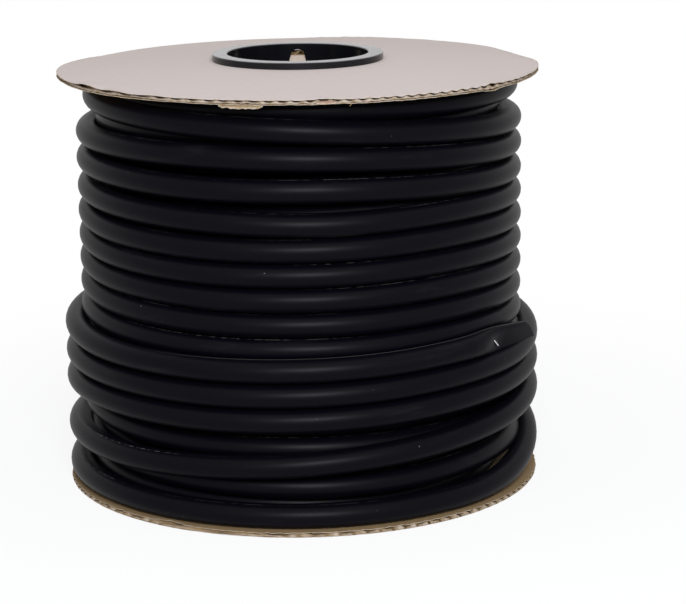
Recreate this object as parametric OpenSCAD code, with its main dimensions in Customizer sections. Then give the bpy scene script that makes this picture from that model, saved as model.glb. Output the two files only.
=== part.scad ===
// Bulk soaker hose on its cardboard reel: a kraft core tube and two corrugated board
// flanges, held by two moulded collars, wound full of black rubber hose. The reel stands
// on one flange with its axis along Z, and the front of the reel faces -Y.

/* [Reel] */
// Diameter of both board flanges
flange_d = 320; // [318:1:330]
// Height over the faces of the two collars
reel_h = 285.7; // [285:0.1:288]
// How far each flange's rim sags below its own centre
flange_sag = 4.5; // [3:0.1:4.5]
// Outside diameter of the kraft core tube
core_d = 108; // [104:1:112]
// Wall of the kraft core tube
core_wall = 5; // [3:0.5:6]

/* [Corrugated board] */
// Thickness of the single-wall board
board_t = 4; // [3.6:0.1:4.4]
// Thickness of one paper liner
liner_t = 0.35; // [0.25:0.05:0.5]
// Distance from flute to flute
flute_pitch = 7.95; // [7.5:0.05:8.5]
// Thickness of the fluted sheet, measured upright
flute_t = 0.4; // [0.3:0.05:0.5]
// Room left for the glue line between a flute's crest and its liner
glue_gap = 0.12; // [0.1:0.01:0.2]
// Direction of the upper flange's flutes, measured from the front-to-back line
upper_flute_turn = 18; // [0:1:180]
// Direction of the lower flange's flutes
lower_flute_turn = 70; // [0:1:180]

/* [Collars] */
// Bore of each collar, where the spindle goes
bore_d = 94; // [90:0.5:94]
// Outside diameter of a collar's ring
ring_d = 114; // [112:1:120]
// Thickness of a collar's ring
ring_t = 4.5; // [4.5:0.1:5]
// Wall of a collar's sleeve
sleeve_wall = 1.6; // [1.2:0.1:1.8]
// Length of the sleeve below the ring
sleeve_len = 22; // [18:1:30]
// Windows round each sleeve
windows = 4; // [3:1:4]
// Width of a window at its sill
window_w = 15.4; // [10:0.1:15.4]
// Width of a window at its shoulders
window_top_w = 8.2; // [6:0.1:8.5]
// Crush ribs round the outside of each sleeve
crush_ribs = 12; // [6:1:16]

/* [Hose] */
// Width of the hose across the corners of its six-sided section
hose_d = 15.2; // [14.6:0.1:15.2]
// Radius of the centre of the hose in the full layer
full_layer_r = 139.7; // [139.7:0.1:140]
// Radius of the centre of the hose in the part layer that ends the winding
part_layer_r = 153.3; // [153.3:0.1:153.6]
// Rings of the hose's surface in one turn
rings_per_turn = 24; // [12:4:24]

/* [Hose end] */
// Length of the flattened end
tail_len = 79; // [70:1:80]
// Height of the flattened end
tail_h = 15.8; // [15:0.1:15.8]
// Thickness of the flattened end
tail_t = 5.2; // [4:0.1:5.6]
// Length of the staple's crown
staple_w = 10.5; // [6:0.5:11]
// Thickness of the staple's wire
staple_wire = 0.8; // [0.5:0.1:1]

/* [Hidden] */

kraft = [0.66, 0.55, 0.42];
liner_colour = [0.80, 0.76, 0.73];
rubber = [0.10, 0.10, 0.11];
black_plastic = [0.05, 0.05, 0.06];
steel = [0.78, 0.78, 0.80];

flange_r = flange_d / 2;
bore_r = bore_d / 2;
sleeve_r = bore_r + sleeve_wall;
core_r = core_d / 2;
board_fit = 0.3;
board_hole_r = sleeve_r + board_fit;
flat_r = ring_d / 2;
chamfer = 0.6;
slip = 0.2;

// ---- the two flanges --------------------------------------------------------------

// How far a flange has sagged at radius r: it is flat as far as its collar laps it.
function sag(r) = r < flat_r ? 0 : flange_sag * (r - flat_r) / (flange_r - flat_r);

// Height of the outer face of each flange at radius r, and of the faces that hold the hose.
function upper_face(r) = reel_h - ring_t - sag(r);
function lower_face(r) = ring_t - sag(r);
function under_upper(r) = upper_face(r) - board_t;
function above_lower(r) = lower_face(r) + board_t;

// A liner: a paper ring that follows the sag, its lower face at base_z in the middle.
module liner(base_z) {
    rotate_extrude($fn = 180)
        polygon([
            [board_hole_r, base_z], [flat_r, base_z], [flange_r, base_z - flange_sag],
            [flange_r, base_z - flange_sag + liner_t], [flat_r, base_z + liner_t],
            [board_hole_r, base_z + liner_t]
        ]);
}

// The fluted sheet: a zigzag of half-pitch strips from rim to rim. Each station across the
// flutes has a front and a back row of points from the rim inwards, with one on the edge of
// the flat middle. Where a station crosses the hole, the two rows stop at the hole's edge.
flute_swing = (board_t - 2 * liner_t - 2 * glue_gap - flute_t) / 2;
half_pitch = flute_pitch / 2;
sheet_r = flange_r - slip;
sheet_hole_r = board_hole_r + 2 * slip;
half_count = floor((sheet_r - 0.5) / half_pitch);
stations = 2 * half_count;
runs = 4;
rows = 2 * runs + 2;

function station_x(i) = (i - half_count) * half_pitch;
// Half the width of a circle of radius r at station i.
function half_chord(i, r) = sqrt(max(0, r ^ 2 - station_x(i) ^ 2));
function crosses_hole(i) = abs(station_x(i)) < sheet_hole_r;
// How far row k of a side, counted from the hole, lies from the middle line.
function side_y(i, k) =
    let (rim = half_chord(i, sheet_r), flat = half_chord(i, flat_r))
    k == 0 ? half_chord(i, sheet_hole_r)
    : flat > 0 ? flat + (rim - flat) * (k - 1) / (runs - 1)
    : rim * k / runs;
function row_y(i, j) = j <= runs ? -side_y(i, runs - j) : side_y(i, j - runs - 1);

// Number of the point at station i, row j, on the lower (0) or upper (1) side. Past the
// hole the two middle rows are one.
function sheet_point(i, j, side) =
    (i * rows + (!crosses_hole(i) && j == runs + 1 ? runs : j)) * 2 + side;

function quad(a, b, c, d) = [[a, b, c], [a, c, d]];

// Faces of one wall strip between two upright edges, given by station and row.
function wall(i0, j0, i1, j1) = quad(
    sheet_point(i0, j0, 0), sheet_point(i0, j0, 1),
    sheet_point(i1, j1, 1), sheet_point(i1, j1, 0)
);

module fluting(base_z, turn) {
    points = [
        for (i = [0:stations], j = [0:rows - 1])
            let (
                x = station_x(i),
                y = row_y(i, j),
                z = base_z - sag(norm([x, y])) + (i % 2 == 0 ? 1 : -1) * flute_swing
            )
            each [[x, y, z - flute_t / 2], [x, y, z + flute_t / 2]]
    ];
    faces = [
        for (i = [0:stations - 1]) each [
            for (j = [0:rows - 2]) if (j != runs) each concat(
                quad(
                    sheet_point(i, j, 1), sheet_point(i, j + 1, 1),
                    sheet_point(i + 1, j + 1, 1), sheet_point(i + 1, j, 1)
                ),
                quad(
                    sheet_point(i, j, 0), sheet_point(i + 1, j, 0),
                    sheet_point(i + 1, j + 1, 0), sheet_point(i, j + 1, 0)
                )
            ),
            each wall(i, 0, i + 1, 0),
            each wall(i + 1, rows - 1, i, rows - 1),
            if (crosses_hole(i) || crosses_hole(i + 1)) each concat(
                wall(i + 1, runs, i, runs),
                wall(i, runs + 1, i + 1, runs + 1)
            )
        ],
        for (j = [0:rows - 2]) if (j != runs) each concat(
            wall(0, j + 1, 0, j),
            wall(stations, j, stations, j + 1)
        )
    ];
    rotate([0, 0, turn]) polyhedron(points, faces);
}

module upper_flange_outer_liner() {
    color(liner_colour) liner(upper_face(0) - liner_t);
}

module upper_flange_fluting() {
    color(kraft) fluting(upper_face(0) - board_t / 2, upper_flute_turn);
}

module upper_flange_inner_liner() {
    color(kraft) liner(under_upper(0));
}

module lower_flange_outer_liner() {
    color(liner_colour) liner(lower_face(0));
}

module lower_flange_fluting() {
    color(kraft) fluting(lower_face(0) + board_t / 2, lower_flute_turn);
}

module lower_flange_inner_liner() {
    color(kraft) liner(above_lower(0) - liner_t);
}

// ---- core tube and collars ----------------------------------------------------------

module core_tube() {
    foot = above_lower(core_r - core_wall);
    head = under_upper(core_r);
    color(kraft) translate([0, 0, foot])
        difference() {
            cylinder(h = head - foot, r = core_r, $fn = 128);
            translate([0, 0, -1]) cylinder(h = reel_h, r = core_r - core_wall, $fn = 128);
        }
}

// One window of a sleeve, cut from the bore outwards: a sill, two shoulders and a point.
window_sill = ring_t + 15;
window_shoulder = 5.5;
window_point = 2.8;

module window_cut() {
    rotate([90, 0, 90])
        linear_extrude(height = sleeve_r + 1)
            polygon([
                [-window_w / 2, -window_sill], [window_w / 2, -window_sill],
                [window_top_w / 2, -window_shoulder], [0, -window_point],
                [-window_top_w / 2, -window_shoulder]
            ]);
}

// A collar with the face of its ring at z = 0 and its sleeve hanging below: the ring laps
// the board, and the sleeve's crush ribs bite the core tube. The ribs start above the
// sleeve's foot, end below the board, and are rooted in the sleeve's wall.
lead_in = 2;
rib_w = 1.2;
rib_root = 0.5;
rib_rise = 4;
rib_below_board = 2;
rib_fit = 0.02;
rib_tip_r = core_r - core_wall - rib_fit;

module collar() {
    ring_r = ring_d / 2;
    foot = ring_t + sleeve_len;
    rib_len = sleeve_len - rib_rise - board_t - rib_below_board;
    difference() {
        union() {
            rotate_extrude($fn = 180)
                polygon([
                    [bore_r + chamfer, 0], [ring_r - chamfer, 0], [ring_r, -chamfer],
                    [ring_r, -ring_t], [sleeve_r, -ring_t], [sleeve_r, lead_in - foot],
                    [sleeve_r - chamfer, -foot], [bore_r, -foot], [bore_r, -chamfer]
                ]);
            for (k = [0:crush_ribs - 1])
                rotate([0, 0, 360 * (k + 0.5) / crush_ribs])
                    translate([sleeve_r - rib_root, -rib_w / 2, rib_rise - foot])
                        cube([rib_tip_r - sleeve_r + rib_root, rib_w, rib_len]);
        }
        for (k = [0:windows - 1])
            rotate([0, 0, 90 + 360 * k / windows]) window_cut();
    }
}

module upper_collar() {
    color(black_plastic) translate([0, 0, reel_h]) collar();
}

module lower_collar() {
    color(black_plastic) mirror([0, 0, 1]) collar();
}

// ---- the hose -----------------------------------------------------------------------

// The lay of the hose: [turns, height], counted from the front of the reel at the first
// turn. It starts under the upper flange, lies slack for three turns and close for nine,
// drops to the lower flange, and comes back up over itself in the part layer.
start_turn = -31 / rings_per_turn;
top_z = 265.4;
end_turn = 18.11;
lay = [
    [start_turn, top_z], [-0.5, top_z], [-0.25, 262], [-0.15, 259.6], [-0.07, 257],
    [0, 254.6], [0.1, 249.2], [0.19, 243.8], [0.3, 241.2], [0.85, 238.7],
    [0.96, 237.8], [1.04, 236], [1.12, 231.7], [1.19, 227.5], [1.3, 224.6],
    [1.85, 218.7], [1.93, 217.4], [2.03, 217.2], [2.1, 214.6], [2.19, 210.4],
    [2.3, 207.9], [2.79, 200.4], [2.92, 197.6], [3, 195.8], [12, 53.4],
    [13, 27.1], [13.08, 27.8], [13.16, 30], [13.25, 28], [13.45, 17.5], [13.75, 12.2],
    [14.14, 12.2], [14.26, 33], [14.75, 38.3], [14.84, 38.5], [14.89, 39.8],
    [14.93, 41.8], [15, 45.3], [15.07, 49.8], [15.16, 55], [15.22, 56],
    [15.84, 74.3], [16.22, 74.3], [16.76, 90.5], [17.2, 90.1], [17.5, 112],
    [17.62, 113], [17.78, 109], [17.84, 107.1], [18, 106.3], [end_turn, 105.9]
];
// Inside the close turns every turn rises and falls alike: [share of a turn, rise].
lean = [
    [0, 0], [0.04, 0.5], [0.07, 1.6], [0.1, 2.4], [0.12, 2.8], [0.16, 2.5], [0.19, 1.7],
    [0.45, 0], [0.8, -1], [0.93, -1.2], [0.97, -0.8], [1, 0]
];
// How much of that lean a turn takes.
lean_share = [
    [2.97, 0], [3, 1], [12.5, 1], [12.9, 0], [15.6, 0], [15.8, 1]
];
layer_step = part_layer_r - full_layer_r;
// Where the hose steps out to the full layer, and from it to the part layer.
layer_climbs = [
    [start_turn, full_layer_r - layer_step], [-1, full_layer_r - layer_step],
    [-0.5, full_layer_r], [13.45, full_layer_r], [13.75, part_layer_r],
    [end_turn, part_layer_r]
];

function hose_z(turn) =
    lookup(turn, lay) + lookup(turn - floor(turn), lean) * lookup(turn, lean_share);
function hose_r(turn) = lookup(turn, layer_climbs);

// A point beside the hose's centre, out and up, at a given turn.
function beside_hose(turn, out, up) =
    let (a = 360 * turn, r = hose_r(turn) + out)
    [r * sin(a), -r * cos(a), hose_z(turn) + up];

// One ring of the hose's surface. Its corners point up and down.
sides = 6;
function hose_ring(turn) = [
    for (k = [0:sides - 1])
        let (a = 90 + 360 * k / sides)
        beside_hose(turn, hose_d / 2 * cos(a), hose_d / 2 * sin(a))
];

// A ring slid straight along the hose by one hose width, as at both of its ends.
function along(turn) = [cos(360 * turn), sin(360 * turn), 0];
function slid(ring, turn) = [for (p = ring) p + hose_d * along(turn)];

// Every turn has its rings at the same places round the reel, so that turns lie parallel.
whole_steps = floor((end_turn - start_turn) * rings_per_turn);
hose_rings = [
    hose_ring(start_turn),
    slid(hose_ring(start_turn), start_turn),
    for (k = [1:whole_steps]) hose_ring(start_turn + k / rings_per_turn),
    hose_ring(end_turn),
    slid(hose_ring(end_turn), end_turn)
];

// A tube through a list of rings of n points each, closed at both ends.
module skin(rings, n) {
    last = len(rings) - 1;
    polyhedron(
        [for (ring = rings) each ring],
        [
            for (i = [0:last - 1], k = [0:n - 1])
                let (a = i * n + k, b = i * n + (k + 1) % n)
                each quad(a, b, b + n, a + n),
            for (k = [1:n - 2]) [0, k + 1, k],
            for (k = [1:n - 2]) [last * n, last * n + k, last * n + k + 1]
        ]
    );
}

// The least gap of the hose to itself, from each ring's corners to the edges of every ring
// that lies beside it at least three quarters of a turn along.
function middle(ring) = (ring[0] + ring[3]) / 2;
function to_edge(p, a, b) =
    let (ab = b - a, t = max(0, min(1, (p - a) * ab / (ab * ab))))
    norm(p - a - t * ab);
function ring_gap(u, v) = min([
    for (p = u, k = [0:sides - 1]) to_edge(p, v[k], v[(k + 1) % sides])
]);
middles = [for (ring = hose_rings) middle(ring)];
apart = floor(rings_per_turn * 0.75);
self_gaps = [
    for (i = [0:len(hose_rings) - 1], j = [i + apart:1:len(hose_rings) - 1])
        if (norm(middles[i] - middles[j]) < 1.5 * hose_d)
            min(
                ring_gap(hose_rings[i], hose_rings[j]),
                ring_gap(hose_rings[j], hose_rings[i])
            )
];
echo(least_gap_of_the_hose_to_itself_mm = min(self_gaps));
echo(turns = end_turn - start_turn, hose_rings = len(hose_rings));

module hose_winding() {
    color(rubber) skin(hose_rings, sides);
}

// The layers beneath, as one drum between the flanges. Under the upper flange it is cut
// away where the hose climbs out, and the hose starts from the end face of that cut.
// The hose runs straight from ring to ring, so it dips in a little between them.
drum_r = (full_layer_r - hose_d / 2 * cos(30)) * cos(180 / rings_per_turn) - slip;
groove_r = drum_r - layer_step;
groove_z = top_z - hose_d / 2 - slip;
climb_arc = 288;

module hose_inner_layers() {
    inner_r = core_r + slip;
    head_gap = 1;
    color(rubber) difference() {
        rotate_extrude($fn = 180)
            polygon([
                [inner_r, above_lower(inner_r) + slip], [flat_r, above_lower(flat_r) + slip],
                [drum_r, above_lower(drum_r) + slip], [drum_r, under_upper(drum_r) - head_gap],
                [flat_r, under_upper(flat_r) - head_gap], [inner_r, under_upper(inner_r) - head_gap]
            ]);
        rotate([0, 0, 360 * start_turn - 90])
            rotate_extrude(angle = climb_arc, $fn = 180)
                translate([groove_r, groove_z]) square([hose_d * 2, reel_h - groove_z]);
    }
}

// The flattened end: rings that pass from the end of the round hose to a flat tongue that
// swings outwards. Each row is [share of the length, thickness, height, radius of its outer
// face, how far it drops].
tail_form = [
    [0.12, 10, tail_h - 0.2, part_layer_r + 5.3, 0],
    [0.24, tail_t, tail_h, part_layer_r + 2.1, 0],
    [0.45, tail_t, tail_h, part_layer_r + 3.7, 0],
    [0.65, tail_t, tail_h - 0.2, part_layer_r + 4.7, 0],
    [0.85, tail_t, tail_h - 1, part_layer_r + 5.8, 0.1],
    [0.95, tail_t - 0.6, tail_h - 1.8, part_layer_r + 6.4, 0.3],
    [1, tail_t - 1.8, tail_h - 3.4, part_layer_r + 6.6, 0.5]
];
tail_sides = 12;
tail_start = end_turn + atan(hose_d / part_layer_r) / 360;
tail_rise = 0.35;
tail_z = hose_z(end_turn) + tail_rise;
function tail_turn(share) = tail_start + share * tail_len / (2 * PI * part_layer_r);
function tail_face_r(share) = lookup(share, [for (row = tail_form) [row[0], row[3]]]);

// An oval ring of n points at a given turn: its centre's radius and height, and its size.
function oval(turn, r, z, t, h, n) = [
    for (k = [0:n - 1])
        let (a = 90 + 360 * k / n, out = r + t / 2 * cos(a))
        [out * sin(360 * turn), -out * cos(360 * turn), z + h / 2 * sin(a)]
];
tail_rings = [
    slid(
        oval(end_turn, part_layer_r, hose_z(end_turn), hose_d * cos(30), hose_d, tail_sides),
        end_turn
    ),
    for (row = tail_form)
        oval(
            tail_turn(row[0]), row[3] - row[1] / 2, tail_z - row[4], row[1], row[2], tail_sides
        )
];

// The staple that closes the flat end: a crown on its outer face and two legs through it.
staple_share = 0.285;
staple_slant = 37;
staple_drop = 0.9;
staple_room = 0.1;
// How far the tongue's face swings outwards between the rows on either side of it.
row_before = 0.24;
row_after = 0.45;
staple_swing = atan(
    (tail_face_r(row_after) - tail_face_r(row_before)) / ((row_after - row_before) * tail_len)
);

// Puts things on the outer face of the tail, with X along the staple and Y inwards.
module at_staple() {
    rotate([0, 0, 360 * tail_turn(staple_share)])
        translate([0, -tail_face_r(staple_share), tail_z - staple_drop])
            rotate([0, staple_slant, -staple_swing]) children();
}

module staple_legs(room) {
    side = staple_wire + 2 * room;
    for (end = [-1, 1])
        translate([end * (staple_w - staple_wire) / 2 - side / 2, -staple_wire / 2, -side / 2])
            cube([side, staple_wire / 2 + tail_t - 1 + room, side]);
}

module hose_tail() {
    color(rubber) difference() {
        skin(tail_rings, tail_sides);
        at_staple() staple_legs(staple_room);
    }
}

module tail_staple() {
    color(steel) at_staple() {
        translate([-staple_w / 2, -staple_wire, -staple_wire / 2])
            cube([staple_w, staple_wire, staple_wire]);
        staple_legs(0);
    }
}

upper_collar();
lower_collar();
core_tube();
upper_flange_outer_liner();
upper_flange_fluting();
upper_flange_inner_liner();
lower_flange_outer_liner();
lower_flange_fluting();
lower_flange_inner_liner();
hose_inner_layers();
hose_winding();
hose_tail();
tail_staple();
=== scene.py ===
"""Dresses a reel of soaker hose: its rubber hose, board flanges, core and collars.

The reel stands on its lower flange with its axis along Z, and its front faces -Y. Lengths
are in metres. An azimuth is measured from the front of the reel, towards +X.
"""

import math

import bmesh
import bpy
from mathutils import Matrix, Vector, noise


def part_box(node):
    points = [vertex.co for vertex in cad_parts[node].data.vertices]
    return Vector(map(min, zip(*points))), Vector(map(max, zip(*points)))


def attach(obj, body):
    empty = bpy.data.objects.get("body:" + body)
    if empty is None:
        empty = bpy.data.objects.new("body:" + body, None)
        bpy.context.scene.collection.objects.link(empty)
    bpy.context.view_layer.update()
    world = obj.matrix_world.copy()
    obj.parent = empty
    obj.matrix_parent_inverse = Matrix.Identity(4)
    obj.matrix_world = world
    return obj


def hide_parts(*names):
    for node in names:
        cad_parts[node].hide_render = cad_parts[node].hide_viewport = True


bl_info = {
    "name": "Soaker hose reel",
    "version": (1, 0, 0),
    "blender": (4, 5, 0),
    "location": "View3D > Sidebar > Hose reel",
    "description": "Builds the hose, board flanges, core tube and collars of a hose reel",
    "category": "Object",
}

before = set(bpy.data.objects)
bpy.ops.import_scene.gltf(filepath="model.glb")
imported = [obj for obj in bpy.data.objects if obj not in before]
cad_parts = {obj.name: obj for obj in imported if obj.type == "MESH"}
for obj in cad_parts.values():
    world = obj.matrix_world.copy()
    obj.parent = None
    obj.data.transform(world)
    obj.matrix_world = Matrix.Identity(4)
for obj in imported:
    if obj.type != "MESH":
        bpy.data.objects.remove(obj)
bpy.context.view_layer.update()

MM = 0.001
TURN = 2 * math.pi
BODY = "root"
PANEL_NAME = "Hose reel"

# ---- places taken from the frame ----

PAPER = 0.35 * MM
upper_liner_low, upper_liner_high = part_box("upper_flange_outer_liner")
lower_liner_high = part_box("lower_flange_outer_liner")[1]
lower_inner_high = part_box("lower_flange_inner_liner")[1]
collar_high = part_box("upper_collar")[1]

FLANGE_R = upper_liner_high.x
FLAT_R = collar_high.x
REEL_TOP = collar_high.z
SAG = upper_liner_high.z - upper_liner_low.z - PAPER
UPPER_FACE = upper_liner_high.z
LOWER_FACE = lower_liner_high.z - PAPER
BOARD = lower_inner_high.z - LOWER_FACE
# The hole that the collars' sleeves pass through, in the liners and in the fluted sheets.
HOLE_R = 48.9 * MM
FLUTES_HOLE_R = HOLE_R + 0.5 * MM

# ---- the lay of the hose ----

# [turns, height]: where the centre of the hose is at each point of its way down the reel
# and back up, in millimetres. Turn 0 is at the front.
START_TURN = -31 / 24
END_TURN = 18.11
TOP_Z = 265.4
LAY = (
    (START_TURN, TOP_Z), (-0.5, TOP_Z), (-0.25, 262), (-0.15, 259.6), (-0.07, 257),
    (0, 254.6), (0.1, 249.2), (0.19, 243.8), (0.3, 241.2), (0.85, 238.7),
    (0.96, 237.8), (1.04, 236), (1.12, 231.7), (1.19, 227.5), (1.3, 224.6),
    (1.85, 218.7), (1.93, 217.4), (2.03, 217.2), (2.1, 214.6), (2.19, 210.4),
    (2.3, 207.9), (2.79, 200.4), (2.92, 197.6), (3, 195.8), (12, 53.4),
    (13, 27.1), (13.08, 27.8), (13.16, 30), (13.25, 28), (13.45, 17.5), (13.75, 12.2),
    (14.14, 12.2), (14.26, 33), (14.75, 38.3), (14.84, 38.5), (14.89, 39.8),
    (14.93, 41.8), (15, 45.3), (15.07, 49.8), (15.16, 55), (15.22, 56),
    (15.84, 74.3), (16.22, 74.3), (16.76, 90.5), (17.2, 90.1), (17.5, 112),
    (17.62, 113), (17.78, 109), (17.84, 107.1), (18, 106.3), (END_TURN, 105.9),
)
# [share of a turn, rise]: every close turn rises and falls alike, in millimetres.
LEAN = (
    (0, 0), (0.04, 0.5), (0.07, 1.6), (0.1, 2.4), (0.12, 2.8), (0.16, 2.5), (0.19, 1.7),
    (0.45, 0), (0.8, -1), (0.93, -1.2), (0.97, -0.8), (1, 0),
)
# [turns, share]: how much of that lean a turn takes.
LEAN_SHARE = ((2.97, 0), (3, 1), (12.5, 1), (12.9, 0), (15.6, 0), (15.8, 1))
# [turns, layer]: how many layer steps outside the full layer the hose lies.
LAYERS = (
    (-0.97, -1), (-0.9, -0.5), (-0.84, -0.22), (-0.62, -0.22), (-0.45, -0.5), (-0.25, -0.5),
    (-0.15, -0.3), (-0.03, 0), (13.45, 0), (13.75, 1),
)
# [turns, rise]: a millimetre or a few that the soft hose settles from that lay.
SETTLING = (
    (0.6, 0), (0.7, -2), (0.78, -2), (0.92, 0), (14.12, 0), (14.2, -4.5), (14.25, -4), (14.3, 0),
    (15.18, 0), (15.25, 3.8), (15.32, 3), (15.5, 0), (16.14, 0), (16.22, 3), (16.27, 4), (16.5, 0),
    (17.14, 0), (17.22, 2.5), (17.27, 3.2), (17.4, 0),
)
# [share of a turn, rise]: how every close turn settles at the left.
LEFT_SETTLING = ((0.64, 0), (0.73, 1.7), (0.77, 1.5), (0.82, 0))
# [turns, height]: the layer below climbs the reel to where the outer turns start. Its last
# turns are as slack as those that lie on them.
UNDER_START = -17.45
UNDER_LAY = (
    (UNDER_START, 13), (-17.3, 16), (-17.15, 16.2), (-17, 13.5), (-16.9, 12.4), (-16.25, 27.5),
    (-5, 199), (-4, 216), (-3, 234), (-2.2, 247), (-2, 250), (-1.6, 259), (START_TURN, TOP_Z),
)
# [turns, way out]: its foot bulges out under the part layer, and the rest lies flat.
UNDER_BULGE = ((UNDER_START, 2), (-17.33, 8), (-17.27, 9), (-17.12, 9), (-17, 5), (-16.9, 0))
# How much further in than a layer step it lies, and how the layer under it lies to it.
UNDER_SINK = 1.6
DEEP_START = -16.5
DEEP_TURNS = 16
DEEP_LOWEST = 14
DEEP_PITCH = 15.9
# A turn of the layer below that crosses to the left of the part layer, where it shows:
# [azimuth in degrees, radius, height].
CROSSING = (
    (-128, 126, 88), (-112, 127, 82), (-98, 128.5, 75), (-86, 131.5, 67), (-76, 135, 57.5),
    (-68, 137, 48), (-60, 135.5, 41.5), (-51, 131.5, 35.5), (-40, 128, 30), (-26, 126, 27),
)


def length(name, description, default, **limits):
    """A length that the panel shows."""
    return bpy.props.FloatProperty(
        name=name, description=description, default=default, subtype="DISTANCE",
        unit="LENGTH", **limits,
    )


def colour(name, description, default):
    """A colour that the panel shows."""
    return bpy.props.FloatVectorProperty(
        name=name, description=description, default=default, subtype="COLOR", min=0, max=1
    )


class ReelSizes(bpy.types.PropertyGroup):
    """Sizes of the hose, of the board's flutes and of the staple."""

    hose_width: length("Hose width", "Width of the round hose", 16 * MM, min=12 * MM, max=20 * MM)
    full_layer_r: length("Full layer", "Radius of the hose's centre in the full layer", 140.6 * MM)
    layer_step: length("Layer step", "How far apart two layers of the hose lie", 11.6 * MM)
    flute_pitch: length("Flute pitch", "Distance from flute to flute of the board", 7.95 * MM)
    staple_wire: length("Staple wire", "Thickness of the staple's wire", 0.9 * MM)


class ReelColours(bpy.types.PropertyGroup):
    """Colours of the reel's materials."""

    rubber: colour("Rubber", "Colour of the hose", (0.0016, 0.0015, 0.0031))
    dust: colour("Dust", "Colour of dust and rubbed seams on the hose", (0.16, 0.145, 0.13))
    # Painted sheen: a pale colour on the flat top of the collars, for the glancing light it
    # reflects.
    painted_top_sheen: colour("Painted top sheen", "Painted sheen on the flat top of the collars", (0.15, 0.138, 0.145))
    facing: colour("Facing", "Outer paper of the flanges", (0.59, 0.512, 0.478))
    kraft: colour("Kraft", "Inner paper and fluting of the flanges", (0.25, 0.166, 0.082))
    torn: colour("Torn paper", "Fibres of the paper where it is cut or torn", (0.42, 0.345, 0.265))
    # Painted shade: a near-black colour put in the gaps between torn fibres, where shade falls.
    gap: colour("Painted gap shade", "Painted shade in the gaps between torn fibres", (0.03, 0.02, 0.014))
    stained: colour("Stained paper", "The torn flap at the front", (0.34, 0.22, 0.155))
    # Pale kraft, painted paler still to make up for the shade inside the bore.
    core: colour("Core", "Wound paper of the core tube", (0.60, 0.48, 0.38))
    plastic: colour("Plastic", "Moulded plastic of the collars", (0.004, 0.004, 0.005))
    steel: colour("Steel", "Wire of the staple", (0.85, 0.85, 0.86))
    drawn: colour("Drawn lines", "Fine lines along the staple's wire", (0.6, 0.6, 0.62))


def sizes():
    return bpy.context.scene.reel_sizes


def colours():
    return bpy.context.scene.reel_colours


# ---- material maths ----


class Value:
    """A socket of a material, so that the maths on it reads as a Python expression."""

    def __init__(self, graph, socket):
        self.graph = graph
        self.socket = socket

    def maths(self, operation, *values):
        return self.graph.add("ShaderNodeMath", {"operation": operation}, *values)

    def __add__(self, other):
        return self.maths("ADD", self, other)

    def __sub__(self, other):
        return self.maths("SUBTRACT", self, other)

    def __rsub__(self, other):
        return self.maths("SUBTRACT", other, self)

    def __mul__(self, other):
        return self.maths("MULTIPLY", self, other)

    def __truediv__(self, other):
        return self.maths("DIVIDE", self, other)

    def __rtruediv__(self, other):
        return self.maths("DIVIDE", other, self)

    __radd__ = __add__
    __rmul__ = __mul__

    def sine(self):
        return self.maths("SINE", self)

    def size(self):
        return self.maths("ABSOLUTE", self)

    def between(self, low, high, to_low=0.0, to_high=1.0):
        """This value, smoothly rescaled from low..high to to_low..to_high."""
        settings = {"interpolation_type": "SMOOTHSTEP"}
        return self.graph.add("ShaderNodeMapRange", settings, self, low, high, to_low, to_high)


class Graph:
    """The nodes of a material, or of a world, under construction."""

    def __init__(self, name, kind="materials"):
        self.owner = getattr(bpy.data, kind).new(name)
        self.owner.use_nodes = True
        self.tree = self.owner.node_tree

    def add(self, kind, settings=None, *values, out=0, **named):
        """Adds a node: its settings first, then its sockets, by order or by name."""
        node = self.tree.nodes.new(kind)
        for key, setting in (settings or {}).items():
            setattr(node, key, setting)
        for place, value in enumerate(values):
            self.feed(node.inputs[place], value)
        for key, value in named.items():
            self.feed(node.inputs[key.replace("_", " ")], value)
        return Value(self, node.outputs[out])

    def feed(self, socket, value):
        if isinstance(value, Value):
            self.tree.links.new(value.socket, socket)
        elif socket.type == "RGBA" and len(value) == 3:
            socket.default_value = (*value, 1)
        else:
            socket.default_value = value

    def finish(self, **sockets):
        """Sets or links the shader's own sockets, by name."""
        shader = self.tree.nodes["Principled BSDF"]
        for key, value in sockets.items():
            self.feed(shader.inputs[key.replace("_", " ")], value)
        return self.owner

    def show(self, surface, output):
        """Links a shader to the output, in place of the one that was there."""
        self.feed(self.tree.nodes[output].inputs["Surface"], surface)
        return self.owner

    def place(self):
        return self.add("ShaderNodeTexCoord", out="Object")

    def attribute(self, name):
        return self.add("ShaderNodeAttribute", {"attribute_name": name}, out="Fac")

    def noise(self, vector, scale, detail=2.0, roughness=0.5):
        return self.add(
            "ShaderNodeTexNoise", None, Vector=vector, Scale=scale, Detail=detail,
            Roughness=roughness, out="Fac",
        )

    def mix(self, share, a, b):
        """A mix of two colours. They are the node's seventh and eighth sockets."""
        mixed = self.add("ShaderNodeMix", {"data_type": "RGBA"}, share, out=2)
        self.feed(mixed.socket.node.inputs[6], a)
        self.feed(mixed.socket.node.inputs[7], b)
        return mixed

    def stretched(self, vector, scale, turn=0.0):
        """Coordinates stretched by a scale along each axis, after a turn about Z."""
        turned = self.add("ShaderNodeMapping", None, Vector=vector, Rotation=(0, 0, turn))
        return self.add("ShaderNodeMapping", None, Vector=turned, Scale=scale)

    def split(self, vector):
        """The X, Y and Z of a vector."""
        outputs = self.add("ShaderNodeSeparateXYZ", None, vector).socket.node.outputs
        return [Value(self, outputs[k]) for k in range(3)]

    def combined(self, x, y, z):
        return self.add("ShaderNodeCombineXYZ", None, x, y, z)

    def bump(self, height, distance, strength=1.0):
        return self.add(
            "ShaderNodeBump", None, Strength=strength, Distance=distance, Height=height
        )


# ---- materials ----

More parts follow.
